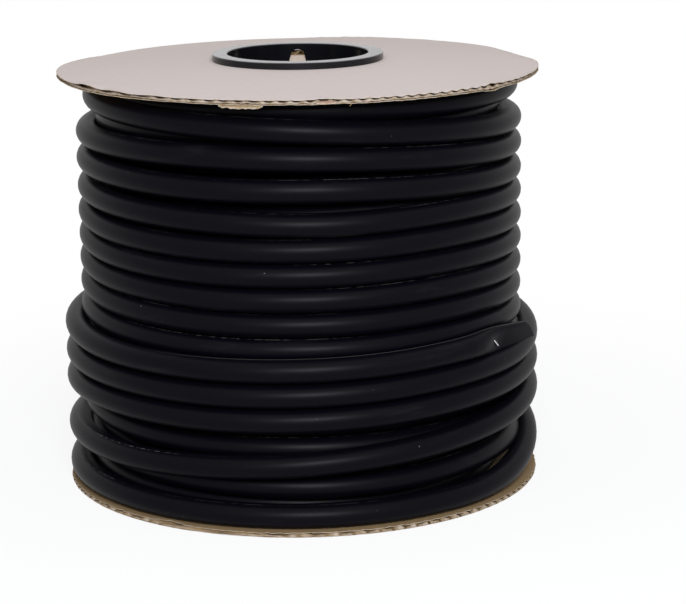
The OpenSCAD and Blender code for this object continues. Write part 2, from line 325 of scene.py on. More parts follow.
# How far along the hose its mould seam is rubbed, where it shows as one clear line, and where
# the hose has been pressed flat and dull, in metres.
RUBBED_UNTIL = 14.3
SEAM_CLEAR_FROM = 17.2
PRESSED_FROM = 17.45
# Where the seam runs, in radians up from the outer side of the hose, how far it drifts round
# from there, and how much higher it runs at the near end.
SEAM_ANGLE = 1.1
SEAM_DRIFT = 0.4
SEAM_RISE = 0.25
# Half the seam's width in radians, where it is full and where it has faded out.
SEAM_FULL = 0.015
SEAM_FADED = 0.045
# How far the edge of a ply rises in one turn of the core tube.
PLY_RISE = 95 * MM


def rubber_material():
    """Black rubber: soft sheen, faint dust, and a rubbed mould seam that drifts round."""
    g = Graph("hose rubber")
    c = colours()
    along = g.attribute("along")
    around = g.attribute("around")
    follow = g.combined(along, around * 0.008, 0.0)
    dust = g.noise(g.stretched(follow, (1, 6, 1)), 14, 5, 0.6).between(0.55, 0.85)
    grain = g.noise(g.place(), 900, 2)
    wander = g.noise(g.combined(along, 0.0, 3.0), 1.3, 1)
    near_end = along.between(SEAM_CLEAR_FROM, SEAM_CLEAR_FROM + 0.1)
    rubbed = along.between(RUBBED_UNTIL, RUBBED_UNTIL + 0.3, 1, 0)
    from_seam = (around - SEAM_ANGLE - wander * SEAM_DRIFT - near_end * SEAM_RISE).size()
    speckle = g.noise(g.combined(along, around * 0.01, 7.0), 260, 2).between(0.42, 0.62)
    worn = g.noise(g.combined(along, 0.0, 11.0), 5, 2).between(0.46, 0.64)
    line = from_seam.between(SEAM_FULL, SEAM_FADED, 1, 0)
    seam = line * (speckle * worn * rubbed + near_end * 1.1)
    specks = g.noise(follow, 420, 1).between(0.80, 0.84)
    tint = g.mix(dust * 0.05 + seam * 0.6 + specks * 0.6, c.rubber, c.dust)
    pressed = along.between(PRESSED_FROM, PRESSED_FROM + 0.03)
    return g.finish(
        Base_Color=tint,
        Roughness=grain * 0.08 + dust * 0.10 + pressed * 0.25 + 0.36,
        Specular_IOR_Level=0.056,
        Specular_Tint=(1.0, 0.95, 0.92, 1.0),
        Normal=g.bump(grain, 0.05 * MM, 0.25),
    )


def paper_material(name, base, flute_turn, ribs=0.0, mottle=0.08):
    """Board paper: mottled fibres, flutes that show through faintly, and a torn rim.

    The attribute "torn" is 1 on pale torn fibres and -1 on the painted shade of the gaps between
    them.
    """
    g = Graph(name)
    place = g.place()
    across_flutes = g.split(g.stretched(place, (1, 1, 1), -flute_turn))[0]
    fibres = g.noise(g.stretched(place, (1, 7, 1), -flute_turn), 420, 4, 0.65)
    clouds = g.noise(place, 9, 3)
    rib = (across_flutes * (TURN / sizes().flute_pitch)).sine()
    dark = tuple(0.84 * part for part in base)
    light = tuple(min(1, 1.08 * part) for part in base)
    uneven = fibres * mottle * 5 + clouds * 0.35 + rib * ribs * 0.4 + (0.36 - mottle * 2.5)
    shade = g.mix(uneven, dark, light)
    frayed = g.noise(place, 330, 3).between(0.34, 0.56, 0.25, 1)
    torn = g.attribute("torn")
    shade = g.mix(torn.between(0, 1) * frayed, shade, colours().torn)
    # Painted shade: below 0 the attribute darkens the paper to the gap colour.
    shade = g.mix(torn.between(-1, 0, 1, 0), shade, colours().gap)
    return g.finish(
        Base_Color=shade,
        Roughness=fibres * 0.15 + 0.65,
        Specular_IOR_Level=0.12,
        Normal=g.bump(fibres * 0.5 + rib * ribs, 0.12 * MM, 0.35),
    )


def core_material():
    """Spiral-wound kraft tube, with the edge of each ply running round it."""
    g = Graph("core kraft")
    c = colours()
    x, y, z = g.split(g.place())
    plies = z * (1 / PLY_RISE) + y.maths("ARCTAN2", y, x) / TURN
    seam = (plies.maths("FRACT", plies) - 0.5).size().between(0.0, 0.012, 1, 0)
    fibres = g.noise(g.stretched(g.place(), (1, 1, 5)), 500, 3)
    tint = g.mix(fibres * 0.4 + seam * 0.5, c.core, tuple(0.55 * part for part in c.core))
    return g.finish(
        Base_Color=tint, Roughness=0.8, Specular_IOR_Level=0.25,
        Normal=g.bump(fibres * 0.4 - seam, 0.15 * MM, 0.5),
    )


def plastic_material():
    """Black injection-moulded plastic: glossy, with fine handling marks and a painted sheen on
    top.
    """
    g = Graph("collar plastic")
    c = colours()
    marks = g.noise(g.stretched(g.place(), (1, 1, 3)), 240, 4)
    haze = g.noise(g.place(), 26, 2)
    height = g.split(g.place())[2]
    # Painted sheen: the flat top is made paler, mottled by the haze, for the light it catches
    # there.
    top_sheen_mask = height.between(REEL_TOP - 0.5 * MM, REEL_TOP - 0.1 * MM)
    return g.finish(
        Base_Color=g.mix(top_sheen_mask * haze.between(0.3, 0.6, 0.5, 1), c.plastic, c.painted_top_sheen),
        Roughness=haze * 0.08 + marks * 0.05 + 0.12,
        Specular_IOR_Level=0.24,
        Normal=g.bump(marks, 0.02 * MM, 0.3),
    )


def steel_material():
    """Bright drawn wire."""
    g = Graph("staple steel")
    c = colours()
    drawn = g.noise(g.stretched(g.place(), (1, 1, 12)), 1500, 2)
    return g.finish(
        Base_Color=g.mix(drawn, c.steel, c.drawn), Metallic=1.0, Roughness=drawn * 0.15 + 0.25,
    )


# ---- shapes ----


def new_object(name, data):
    """Puts a mesh, a lamp or a camera into the scene."""
    made = bpy.data.objects.new(name, data)
    bpy.context.scene.collection.objects.link(made)
    return made


def new_mesh(name, bm, material):
    """Turns a bmesh into an object with one material."""
    mesh = bpy.data.meshes.new(name)
    bm.to_mesh(mesh)
    bm.free()
    mesh.materials.append(material)
    return new_object(name, mesh)


def new_piece(name, bm, material, replaces=()):
    """Turns a bmesh into a piece of the reel that rides on its body. Its end caps stay flat."""
    piece = new_mesh(name, bm, material)
    for face in piece.data.polygons:
        face.use_smooth = len(face.vertices) <= 4
    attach(piece, BODY)
    if replaces:
        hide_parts(*replaces)
    return piece


def polar(azimuth, radius, height):
    """The point at an azimuth in radians from the front, a radius and a height."""
    return Vector((radius * math.sin(azimuth), -radius * math.cos(azimuth), height))


def look_up(table, at):
    """The value at a place in a table of [place, value], straight between its rows."""
    if at <= table[0][0]:
        return table[0][1]
    for (a, low), (b, high) in zip(table, table[1:]):
        if at <= b:
            return low + (high - low) * (at - a) / (b - a)
    return table[-1][1]


def averaged(function, at, window):
    """A function averaged over a short way, so that it has no kinks."""
    steps = 3
    reads = [function(at + window * k / steps) for k in range(-steps, steps + 1)]
    return sum(reads) / len(reads)


def ease(value):
    """A smooth step from 0 to 1."""
    value = min(1, max(0, value))
    return value * value * (3 - 2 * value)


def wobble(at, seed, step):
    """A smooth random value from about -1 to 1."""
    return noise.noise(Vector((at / step, seed * 7.31, 0.5)))


def sheet(columns, rows, *places, layers=()):
    """A grid of faces for each place(column, row), which gives a point and its layers' values."""
    bm = bmesh.new()
    kept = [bm.verts.layers.float.new(name) for name in layers]
    for place in places:
        grid = bmesh.ops.create_grid(bm, x_segments=columns, y_segments=rows, size=1)
        for vert in grid["verts"]:
            column = round((vert.co.x + 1) / 2 * columns)
            row = round((vert.co.y + 1) / 2 * rows)
            point, *values = place(column, row)
            vert.co = point
            for layer, value in zip(kept, values):
                vert[layer] = value
    return bm


# Points of a sheet that lie nearer than this are one.
SAME_POINT = 1e-6


def weld(bm):
    """Joins the edges of a sheet where they meet."""
    open_verts = [vert for vert in bm.verts if vert.is_boundary]
    bmesh.ops.remove_doubles(bm, verts=open_verts, dist=SAME_POINT)


def close(bm):
    """Caps what is still open with sharp edges, and turns every face outwards."""
    open_edges = [edge for edge in bm.edges if edge.is_boundary]
    for edge in open_edges:
        edge.smooth = False
    if open_edges:
        bmesh.ops.holes_fill(bm, edges=open_edges, sides=0)
    bmesh.ops.recalc_face_normals(bm, faces=bm.faces)


def thicken(bm, thickness):
    """Gives a sheet its thickness, with every face outwards."""
    bmesh.ops.recalc_face_normals(bm, faces=bm.faces)
    bmesh.ops.solidify(bm, geom=bm.faces[:], thickness=thickness)
    bmesh.ops.recalc_face_normals(bm, faces=bm.faces)


def tube(sides, stations):
    """A closed tube. Each station is (centre, out, up, shape, along).

    shape(angle) is how far the surface goes out and up. Each point keeps how far along and
    around the tube it is.
    """

    def place(side, row):
        centre, out, up, shape, along = stations[row]
        angle = TURN * side / sides - math.pi
        go_out, go_up = shape(angle)
        return centre + go_out * out + go_up * up, angle, along

    bm = sheet(sides, len(stations) - 1, place, layers=("around", "along"))
    weld(bm)
    close(bm)
    return bm


# ---- the hose ----

RINGS_PER_TURN = 96
HOSE_SIDES = 28
INNER_SIDES = 20
TAIL_SIDES = 40
# The turn at which the close turns of the full layer end.
CLOSE_TURNS_END = 13
# How much wider and lower the hose is for being pressed by its neighbours.
PRESSED_WIDER = 0.1 * MM
PRESSED_LOWER = 0.25 * MM
# How far the hose strays from its lay, outwards and upwards.
STRAY_OUT = 0.25 * MM
STRAY_UP = 0.2 * MM


def hose_height(turn):
    """Height of the hose's centre, before its small wobble."""
    share = look_up(LEAN_SHARE, turn)
    close_turns = share * (turn < CLOSE_TURNS_END)
    lean = look_up(LEAN, turn % 1) * share + look_up(LEFT_SETTLING, turn % 1) * close_turns
    return look_up(LAY, turn) + lean + look_up(SETTLING, turn)


def hose_layer(turn):
    """How many layer steps outside the full layer the hose lies at a turn."""
    return look_up(LAYERS, turn)


def hose_centre(turn):
    """The centre of the hose in the outer turns."""
    s = sizes()
    radius = s.full_layer_r + s.layer_step * averaged(hose_layer, turn, 0.05)
    radius += STRAY_OUT * wobble(turn, 1, 0.21)
    height = averaged(hose_height, turn, 0.03) * MM + STRAY_UP * wobble(turn, 2, 0.17)
    return polar(TURN * turn, radius, height)


def under_centre(turn):
    """The centre of the layer below, which ends where the outer turns start."""
    s = sizes()
    height = averaged(lambda at: look_up(UNDER_LAY, at), turn, 0.1) * MM
    blend = ease((turn - START_TURN + 0.3) / 0.3)
    bulge = averaged(lambda at: look_up(UNDER_BULGE, at), turn, 0.05)
    radius = s.full_layer_r - s.layer_step + (bulge - UNDER_SINK) * MM
    return polar(TURN * turn, radius, height).lerp(hose_centre(turn), blend)


def deep_centre(turn):
    """The centre of the layer under that one, which closes the gaps between its turns."""
    s = sizes()
    radius = s.full_layer_r - 2 * s.layer_step - UNDER_SINK * MM
    return polar(TURN * turn, radius, (DEEP_LOWEST + DEEP_PITCH * (turn - DEEP_START)) * MM)


def crossing_centre(share):
    """The centre of the crossing turn at a share of its way."""
    place = share * (len(CROSSING) - 1)
    columns = [list(enumerate(column)) for column in zip(*CROSSING)]
    azimuth, radius, height = (
        averaged(lambda at, column=column: look_up(column, at), place, 0.6) for column in columns
    )
    return polar(math.radians(azimuth), radius * MM, height * MM)


def round_shape(width, height):
    """A round section, a little pressed."""
    return lambda angle: (width / 2 * math.cos(angle), height / 2 * math.sin(angle))


def hose_frame(centre_at, turn):
    """The hose's centre, and the directions out of the reel and up across the hose."""
    step = 0.004
    centre = centre_at(turn)
    ahead = (centre_at(turn + step) - centre_at(turn - step)).normalized()
    out = Vector((centre.x, centre.y, 0)).normalized()
    out = (out - ahead * out.dot(ahead)).normalized()
    up = out.cross(ahead)
    return centre, out, up


def winding_stations(centre_at, start, end, rings_per_turn, shape):
    """The stations of a tube along a route, each with how far along the tube it is."""
    count = round((end - start) * rings_per_turn)
    way = 0.0
    before = None
    stations = []
    for k in range(count + 1):
        turn = start + (end - start) * k / count
        centre, out, up = hose_frame(centre_at, turn)
        way += (centre - before).length if before else 0
        before = centre
        stations.append((centre, out, up, shape, way))
    return stations


# The flattened end. Each row is [azimuth in degrees, radius of its outer face, height of
# its middle, thickness, height, squareness, depth of the dent in its face, lean], in
# millimetres and degrees.
TAIL_ROWS = (
    (39.6, 160.2, 108.5, 16.1, 15.75, 2, 0, 0),
    (44, 160.3, 108.6, 15.9, 16, 2, 0, 0),
    (47, 159.8, 108.8, 14.9, 16.4, 2.05, 0, 0),
    (49.5, 158.7, 109.0, 12.4, 17.1, 2.2, 0.1, 2),
    (52, 157.2, 109.0, 8.8, 17.9, 2.7, 0.5, 6),
    (54, 156.5, 108.9, 6.6, 18.2, 3.2, 0.9, 10),
    (56.5, 156.5, 108.8, 5.7, 17.6, 3.8, 1.1, 13),
    (60, 157.3, 108.4, 5.5, 16.2, 4, 1.1, 14),
    (64, 158.1, 107.6, 5.4, 15.3, 4, 1, 14),
    (67.5, 158.7, 106.3, 5.2, 14.9, 4, 0.9, 14),
    (70, 159.0, 104.4, 5, 13.2, 3.4, 0.8, 13),
    (72, 159.3, 102.4, 4.8, 11, 3, 0.7, 12),
    (74, 159.5, 100.1, 4.5, 8, 2.6, 0.5, 12),
    (75.4, 159.6, 98.5, 3.8, 5, 2.2, 0.2, 12),
    (75.9, 159.6, 98.0, 2.6, 3.2, 2, 0, 12),
)
TAIL_STEPS = 110
# How much of the hose's way the tail takes, in metres.
TAIL_WAY = 0.1
# Over how many degrees the tail takes over from the round hose.
TAIL_BLEND = 5


def tail_row(share):
    """The tail's row at a share of its way, between the rows of its table."""
    place = share * (TAIL_ROWS[-1][0] - TAIL_ROWS[0][0]) + TAIL_ROWS[0][0]
    return [place] + [
        averaged(lambda at, k=k: look_up([(row[0], row[k]) for row in TAIL_ROWS], at), place, 0.5)
        for k in range(1, len(TAIL_ROWS[0]))
    ]


def flat_shape(thickness, height, squareness, dent):
    """A section between round and flat, with a dent along its outer face."""

    def shape(angle):
        power = 2 / squareness
        out = math.copysign(abs(math.cos(angle)) ** power, math.cos(angle))
        up = math.copysign(abs(math.sin(angle)) ** power, math.sin(angle))
        hollow = dent * max(0, out) * (1 - up * up) ** 2
        return (thickness / 2 * out - hollow, height / 2 * up)

    return shape


def tail_station(share, way):
    """One station of the tail. way is how far along the hose the tail starts."""
    azimuth, face_r, middle, thickness, height, squareness, dent, lean = tail_row(share)
    turn = math.radians(azimuth)
    centre = polar(turn, (face_r - thickness / 2) * MM, middle * MM)
    tilt = Matrix.Rotation(math.radians(lean), 3, polar(turn + math.pi / 2, 1, 0))
    out = tilt @ polar(turn, 1, 0)
    up = tilt @ Vector((0, 0, 1))
    round_centre, round_out, round_up = hose_frame(hose_centre, round(END_TURN) + azimuth / 360)
    blend = ease((azimuth - TAIL_ROWS[0][0]) / TAIL_BLEND)
    shape = flat_shape(thickness * MM, height * MM, squareness, dent * MM)
    return (
        round_centre.lerp(centre, blend), round_out.lerp(out, blend), round_up.lerp(up, blend),
        shape, way + share * TAIL_WAY,
    )


# The staple's crown on the tail's face: the azimuth in degrees and the height of each end,
# the radius that it lies at, and how deep its legs go.
STAPLE_ENDS = ((51.7, 110.4), (53.8, 105.2))
STAPLE_R = 156.7
STAPLE_LEG = 4.6
STAPLE_BEND = 0.9


def staple_line():
    """The middle of the staple's wire, from one leg's point to the other."""
    ends = [polar(math.radians(a), STAPLE_R * MM, z * MM) for a, z in STAPLE_ENDS]
    azimuth = math.radians(sum(a for a, z in STAPLE_ENDS) / 2)
    inwards = polar(azimuth, -1, 0)
    across = (ends[1] - ends[0]).normalized()
    bend = STAPLE_BEND * MM
    line = []
    for end, side in zip(ends, (1, -1)):
        leg = [end + inwards * STAPLE_LEG * MM, end + inwards * 2 * bend]
        for k in range(7):
            angle = math.pi / 2 * k / 6
            go = across * side * (1 - math.cos(angle)) + inwards * (1 - math.sin(angle))
            leg.append(end + go * bend)
        line += leg if side > 0 else reversed(leg)
    return line


# ---- the board flanges ----

SHEET_COLUMNS = 900
FLUTES_STEPS = 12
# The share of the board's thickness that is pressed out of it at the rim, and over how far.
RIM_CRUSH = 0.24
CRUSH_REACH = 14 * MM
# The knife pressed the ends of the flutes down: over how far they bend from the liner above
# them and by how much, and the skirt of cut paper that closes them.
LID_REACH = 5 * MM
LID_DROP = 1.7 * MM
SKIRT = 1.3 * MM
# Distances of the fluted sheet's last rows from its rim, in millimetres.
RIM_ROWS = (8, 5, 3.4, 2.2, 1.3, 0.7, 0.3, 0)
INNER_ROWS = 7
# The outermost flutes stop just short of the rim, where they would have no length.
FLUTES_WIDTH = 0.998
# How ragged the fluted sheet's rim and the lower edge of its skirt are.
FLUTES_RAGGED = 0.3 * MM
SKIRT_FRAY = 0.5 * MM
# How ragged a liner's rim is and how much it warps, how far its flutes show there in
# millimetres, and how far in from the rim the last two reach.
LINER_RAGGED = 0.2 * MM
LINER_WARP = 0.2 * MM
FLUTES_SHOW = 0.1
WARP_REACH = 7 * MM
# Tears along a rim: how uneven their spacing is in radians of it, their strength and how much
# that varies, and over what length of rim both change.
TEAR_UNEVEN = 1.3
TEAR_UNEVEN_OVER = 30 * MM
TEAR_STRENGTH = 0.75
TEAR_VARIES = 0.6
TEAR_VARIES_OVER = 12 * MM
# How far a gap's painted shade follows the fibres torn out of it, in radians of their spacing.
GAP_SHADE_LAG = 2.0
# How much further back a tear bites the inner liner.
TEAR_BITE = 0.8 * MM
# How pale the cut ends of the flutes are where nothing is torn out of them.
SKIRT_PALE = 0.4
# A half-width of ten turns, which marks the whole rim alike.
ALL_ROUND = 3600


def ragged(azimuth, seed, step):
    """A smooth random value from about -1 to 1 that changes along a rim."""
    return noise.noise(polar(azimuth, FLANGE_R / step, seed * 7.31))


class Board:
    """One flange: where its faces are, how its flutes run, and how its rim is worn.

    Each mark is (sheet, kind, azimuth, half-width, depth from the rim, size) in degrees and
    millimetres. A lift raises a sheet's rim, a cut shortens it, a swell shows the flutes on
    it, and a crush is a share of the whole board's thickness. A lift of "board" bends all its
    sheets. flutes_inset is how far inside the rim the fluted sheet ends, in millimetres, and
    tears_per_turn is how many tears a rim has all round, or 0 where it is cut clean.
    """

    def __init__(
        self, side, outer_face, faces_up, flute_turn, flutes_inset, marks, tears_per_turn=0
    ):
        self.side = side
        self.outer_face = outer_face
        self.faces_up = faces_up
        self.flute_turn = math.radians(flute_turn)
        self.flutes_inset = flutes_inset
        self.marks = marks
        self.tears_per_turn = tears_per_turn

    def sag(self, radius):
        """How far the outer face lies below its flat middle."""
        return SAG * max(0, radius - FLAT_R) / (FLANGE_R - FLAT_R)

    def crushed(self, azimuth, radius):
        """The share of the board's thickness that is pressed out of it there."""
        near_rim = ease((radius - FLANGE_R + CRUSH_REACH) / CRUSH_REACH)
        return RIM_CRUSH * near_rim + self.worn("crush", "board", azimuth, radius)

    def level(self, depth, azimuth, radius):
        """Height at a depth below the outer face, towards the hose."""
        inwards = -1 if self.faces_up else 1
        depth *= 1 - self.crushed(azimuth, radius)
        bent = self.worn("lift", "board", azimuth, radius) * MM
        return self.outer_face - self.sag(radius) + bent + inwards * depth

    def worn(self, kind, sheet_name, azimuth, radius):
        """What the marks of a kind add up to on a sheet there."""
        total = 0
        for name, mark_kind, at, half_width, depth, size in self.marks:
            if name != sheet_name or mark_kind != kind:
                continue
            near = 1 - abs((math.degrees(azimuth) - at + 180) % 360 - 180) / half_width
            if near > 0:
                inner = FLANGE_R - depth * MM
                total += size * ease(near) * ease((radius - inner) / (depth * MM))
        return total

    def flute_phase(self, azimuth, radius):
        """How far across the flutes a point is, in flutes."""
        return radius * math.sin(azimuth - self.flute_turn) / sizes().flute_pitch

    def edge_on(self, azimuth):
        """1 where the rim cuts the flutes square, 0 where it runs along them."""
        return math.cos(azimuth - self.flute_turn) ** 2

    def tear(self, azimuth):
        """From -1, painted shade in a gap of the torn rim, to 1, pale fibres that stand out of it.
        """
        if not self.tears_per_turn:
            return 0
        uneven = TEAR_UNEVEN * ragged(azimuth, 41, TEAR_UNEVEN_OVER)
        phase = self.tears_per_turn * azimuth + uneven
        strength = TEAR_STRENGTH + TEAR_VARIES * ragged(azimuth, 43, TEAR_VARIES_OVER)
        pale = ease(1.5 * math.sin(phase))
        gap = ease(3 * math.sin(phase - GAP_SHADE_LAG) - 2)
        return strength * (pale - gap)

    def skirt_tone(self, azimuth):
        """What the cut ends of the flutes show: torn fibres, and painted shade in the gaps between
        their tears.
        """
        tear = self.tear(azimuth) if self.tears_per_turn else 1
        return tear if tear < 0 else SKIRT_PALE + (1 - SKIRT_PALE) * tear


UPPER = Board("upper", UPPER_FACE, faces_up=True, flute_turn=18, flutes_inset=0.7, marks=(
    ("board", "crush", -78, 22, 14, 0.2),
    ("board", "crush", 76, 14, 14, 0.13),
    ("board", "crush", 49.5, 5, 14, -0.2),
    ("board", "lift", -145, 55, 14, -3.6),
    ("board", "lift", 108, 18, 14, -1.6),
    ("outer_liner", "lift", -57, 7, 16, 1.5),
    ("outer_liner", "lift", -46, 5, 12, 0.8),
    ("outer_liner", "lift", -34, 6, 12, 0.4),
    ("outer_liner", "lift", 49.5, 4, 14, 0.8),
    ("outer_liner", "lift", 5.5, 5, 12, 0.5),
    ("outer_liner", "cut", 6, 4, 12, 1.4),
    ("outer_liner", "swell", 36, 30, 14, 0.35),
    ("outer_liner", "swell", -51, 12, 14, 0.15),
    ("inner_liner", "lift", 49.5, 5, 12, -0.5),
    ("inner_liner", "cut", 9, 2, 8, 1.5),
    ("inner_liner", "cut", -30, 12, 8, 0.9),
    ("fluting", "cut", -40, 14, 8, 1.2),
    ("fluting", "cut", -13, 6, 8, 1.6),
))
LOWER = Board("lower", LOWER_FACE, faces_up=False, flute_turn=70, flutes_inset=0.2, marks=(
    ("board", "crush", -70, 24, 14, 0.12),
    ("board", "crush", 70, 24, 14, 0.1),
    ("outer_liner", "cut", 0, ALL_ROUND, 8, 0.9),
    ("inner_liner", "cut", 0, ALL_ROUND, 8, 0.5),
    ("inner_liner", "lift", -33, 7, 12, 0.5),
    ("inner_liner", "cut", -33, 6, 9, 2.1),
    ("inner_liner", "cut", 2, 5, 8, 0.5),
    ("fluting", "cut", -19, 10, 8, 2.4),
), tears_per_turn=116)

# Radii of the rings of a liner's mesh inside its rim, in millimetres.
LINER_RINGS = (53, 57, 75, 100, 125, 138, 144, 148, 151, 153.5, 155.5, 157, 158.2, 159)


def liner(board, sheet_name, depth):
    """A paper ring as a closed solid, with its worn rim. depth is that of its middle."""
    seed = 3 if sheet_name == "outer_liner" else 5
    bite = TEAR_BITE if sheet_name == "inner_liner" else 0
    closest = 0.3 * MM
    rings = len(LINER_RINGS)
    loops = []
    for column in range(SHEET_COLUMNS):
        azimuth = TURN * column / SHEET_COLUMNS
        rim = FLANGE_R - board.worn("cut", sheet_name, azimuth, FLANGE_R) * MM
        lost = LINER_RAGGED * (1 + ragged(azimuth, seed, 4.5 * MM))
        rim -= lost + bite * max(0, board.tear(azimuth))
        radii = [min(r * MM, rim - closest * (rings - k)) for k, r in enumerate(LINER_RINGS)]
        line = []
        for radius in (HOLE_R, *radii, rim):
            near_rim = ease((radius - FLANGE_R + WARP_REACH) / WARP_REACH)
            flute = math.sin(TURN * board.flute_phase(azimuth, radius)) * board.edge_on(azimuth)
            swell = (FLUTES_SHOW + board.worn("swell", sheet_name, azimuth, radius)) * MM * flute
            warp = LINER_WARP * ragged(azimuth, seed + 8, 10 * MM)
            height = board.level(depth, azimuth, radius) + (swell + warp) * near_rim
            height += board.worn("lift", sheet_name, azimuth, radius) * MM
            line.append((radius, max(height, PAPER / 2)))
        low = [(radius, height - PAPER / 2) for radius, height in line]
        high = [(radius, height + PAPER / 2) for radius, height in reversed(line)]
        loops.append(low + high)

    def place(column, row):
        azimuth = TURN * column / SHEET_COLUMNS
        loop = loops[column % SHEET_COLUMNS]
        cut_edge = row % len(loop) in (rings + 1, rings + 2)
        return polar(azimuth, *loop[row % len(loop)]), float(cut_edge)

    bm = sheet(SHEET_COLUMNS, len(loops[0]), place, layers=("torn",))
    weld(bm)
    close(bm)
    return bm


def flute_depth(crest, from_rim, fray):
    """Depth of the fluted sheet below the board's top. crest is 1 against the liner there."""
    swing = (BOARD - 3 * PAPER) / 2
    lid = 1.5 * PAPER + LID_DROP * (1 - ((1 + crest) / 2) ** 2)
    bent = ease((LID_REACH - from_rim) / (LID_REACH - SKIRT))
    foot = BOARD - 1.6 * PAPER - fray
    depth = (BOARD / 2 - swing * crest) * (1 - bent) + lid * bent
    return depth + (foot - depth) * min(1, max(0, 1 - from_rim / SKIRT))


def fluting(board):
    """The fluted sheet: waves across it, cut to the hole and pressed down at the rim."""
    pitch = sizes().flute_pitch
    reach = FLANGE_R - board.flutes_inset * MM
    columns = 2 * int(reach / pitch) * FLUTES_STEPS
    turned = Matrix.Rotation(board.flute_turn, 3, "Z")
    rows = INNER_ROWS + len(RIM_ROWS) - 1

    def half(side):
        def place(column, row):
            across = reach * FLUTES_WIDTH * (2 * column / columns - 1)
            edge = math.atan2(across, side * math.sqrt(reach * reach - across * across))
            rim_azimuth = math.pi - edge + board.flute_turn
            rim = reach - board.worn("cut", "fluting", rim_azimuth, FLANGE_R) * MM
            rim -= FLUTES_RAGGED * (1 + ragged(rim_azimuth, 21, 5.5 * MM))
            from_rim = RIM_ROWS[max(0, row - INNER_ROWS)] * MM
            near = math.sqrt(max(0, FLUTES_HOLE_R * FLUTES_HOLE_R - across * across))
            along = math.sqrt(max(near * near, (rim - from_rim) ** 2 - across * across))
            if row < INNER_ROWS:
                along = near + (along - near) * row / INNER_ROWS
            radius = math.hypot(across, along)
            crest = math.sin(TURN * across / pitch)
            point = turned @ Vector((across, side * along, 0))
            azimuth = math.atan2(point.x, -point.y)
            fray = SKIRT_FRAY * (1 + ragged(azimuth, 23, 3 * MM))
            depth = flute_depth(crest, rim - radius, fray)
            point.z = board.level(depth if board.faces_up else BOARD - depth, azimuth, radius)
            # The skirt's tone carries the painted shade of the gaps where it is below 0.
            return point, board.skirt_tone(azimuth) * (rim - radius < 1.5 * SKIRT)

        return place

    bm = sheet(columns, rows, half(1), half(-1), layers=("torn",))
    weld(bm)
    bmesh.ops.dissolve_degenerate(bm, edges=bm.edges[:], dist=SAME_POINT)
    thicken(bm, PAPER)
    return bm


SCRAP_COLUMNS = 48
SCRAP_ROWS = 8
# How far inside the rim a scrap starts, and how thick its torn paper is.
SCRAP_ROOT = 3 * MM
SCRAP_PAPER = 0.8 * PAPER


def scrap(board, azimuth, width, depth, drop, curl):
    """A torn strip that hangs from the rim: it leans out and down, and its edge is ragged.

    azimuth and width are in degrees. It leaves the board at a depth below the outer face.
    """

    def place(column, row):
        share = column / SCRAP_COLUMNS
        way = row / SCRAP_ROWS
        around = math.radians(azimuth + width * (share - 0.5))
        torn = (1 - 0.4 * abs(ragged(around, 31, 4 * MM))) * (1 - 0.6 * (2 * share - 1) ** 6)
        radius = FLANGE_R - SCRAP_ROOT * (1 - way) + curl * MM * math.sin(2 * way) * torn
        height = board.level(depth, around, radius) - drop * MM * way ** 2 * torn
        return polar(around, radius, height), way ** 4

    bm = sheet(SCRAP_COLUMNS, SCRAP_ROWS, place, layers=("torn",))
    thicken(bm, SCRAP_PAPER)
    return bm


# A fibre that hangs from the rim: the azimuth in degrees, radius and height of its points.
FIBRE = (
    (11.9, 159.6, 276), (11.8, 160.1, 275.2), (11.55, 160.3, 274.3), (11.45, 160.2, 273.2),
    (11.15, 160.0, 272.3),
)
FIBRE_WIDTH = 0.45 * MM


def strand(points, width, sides=8):
    """A thin tube through a list of points."""
    stations = []
    for k, point in enumerate(points):
        ahead = (points[min(k + 1, len(points) - 1)] - points[max(k - 1, 0)]).normalized()
        out = ahead.orthogonal().normalized() if k == 0 else stations[-1][1]
        out = (out - ahead * out.dot(ahead)).normalized()
        stations.append((point, out, out.cross(ahead), round_shape(width, width), 0))
    return tube(sides, stations)


# ---- operators ----


class BuildOperator:
    """What every operator of the panel shares."""

    bl_options = {"REGISTER", "UNDO"}

    def execute(self, context):
        self.build()
        return {"FINISHED"}


# Where the camera stands, how far it is turned in radians, and its lens and sensor in
# millimetres.
CAMERA_PLACE = Vector((0, -1.5804, 0.4844))
CAMERA_PITCH = 0.2300
CAMERA_YAW = 0.0178
CAMERA_ROLL = -0.0125
CAMERA_LENS = 124.96
CAMERA_SENSOR = 36
WHITE = (1, 1, 1, 1)
# How strongly the room lights the reel. What is seen of the room itself is white.
ROOM_LIGHT = 0.36
# The floor is partly plain white, and the rest of it takes the reel's shadow: how white it is
# near the reel, and between which distances that rises to all white.
FLOOR_HALF = 6
FLOOR_COLOUR = (0.9, 0.9, 0.9, 1)
FLOOR_WHITE = 0.86
FLOOR_WHITER_FROM = 0.2
FLOOR_ALL_WHITE = 0.6


